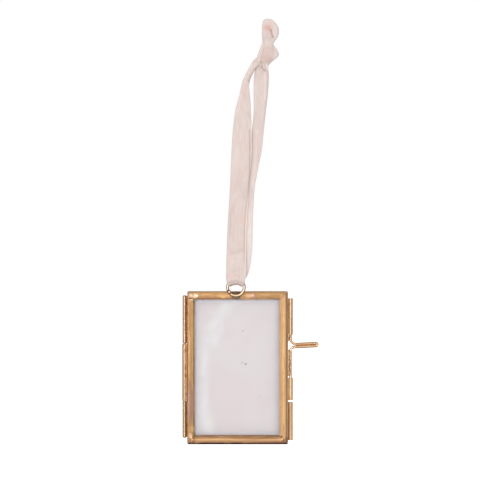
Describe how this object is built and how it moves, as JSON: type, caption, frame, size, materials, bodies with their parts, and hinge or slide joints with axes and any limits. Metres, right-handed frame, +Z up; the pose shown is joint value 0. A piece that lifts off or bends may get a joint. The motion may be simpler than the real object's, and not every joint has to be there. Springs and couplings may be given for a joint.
{
  "type": "hanging picture frame ornament",
  "caption": "Small two-sided brass and glass picture frame that opens on a side hinge, closes with a sliding wire bolt, and hangs by a ring from a knotted silk ribbon.",
  "frame": {"origin": "crown of the ribbon's long loop, under the knot and between the two strands, where a hook or twig bears", "axes": "+X to the viewer's right, towards the latch; +Y away from the viewer, from the front half to the back half; +Z up"},
  "size_m": [0.0701, 0.01, 0.2175],
  "materials": {
    "aged_brass": "satin brass with brown and greenish patina",
    "bright_brass": "bright drawn brass wire and tube",
    "solder": "brass-coloured solder, lumpy and partly darkened",
    "clear_glass": "clear, smooth",
    "white_card": "matt off-white",
    "blush_silk": "soft gathered silk with a fine weave"
  },
  "bodies": {
    "front_half": {"front_frame": "aged_brass", "front_glass": "clear_glass", "insert_card": "white_card", "front_corner_solder": "solder", "hanging_ring": "bright_brass", "ring_solder": "solder", "ribbon": "blush_silk", "bolt_guide_upper": "bright_brass", "bolt_guide_lower": "bright_brass", "bolt_guide_solder": "solder", "hinge_knuckle_middle": "aged_brass", "hinge_middle_solder": "solder"},
    "back_half": {"back_frame": "aged_brass", "back_glass": "clear_glass", "back_corner_solder": "solder", "bolt_keeper": "aged_brass", "keeper_solder": "solder", "hinge_knuckle_top": "aged_brass", "hinge_knuckle_bottom": "aged_brass", "hinge_end_solder": "solder", "hinge_pin": "bright_brass"},
    "latch_bolt": {"latch_bolt": "bright_brass"}
  },
  "joints": [
    {"name": "hinge", "type": "hinge", "parent": "front_half", "child": "back_half", "pos_m": [-0.0352, 0.00395, -0.15], "axis": [0, 0, 1], "range_deg": [0, 180]},
    {"name": "bolt_slide", "type": "slide", "parent": "front_half", "child": "latch_bolt", "axis": [0, 0, 1], "range_m": [-0.0134, 0.0018]}
  ]
}
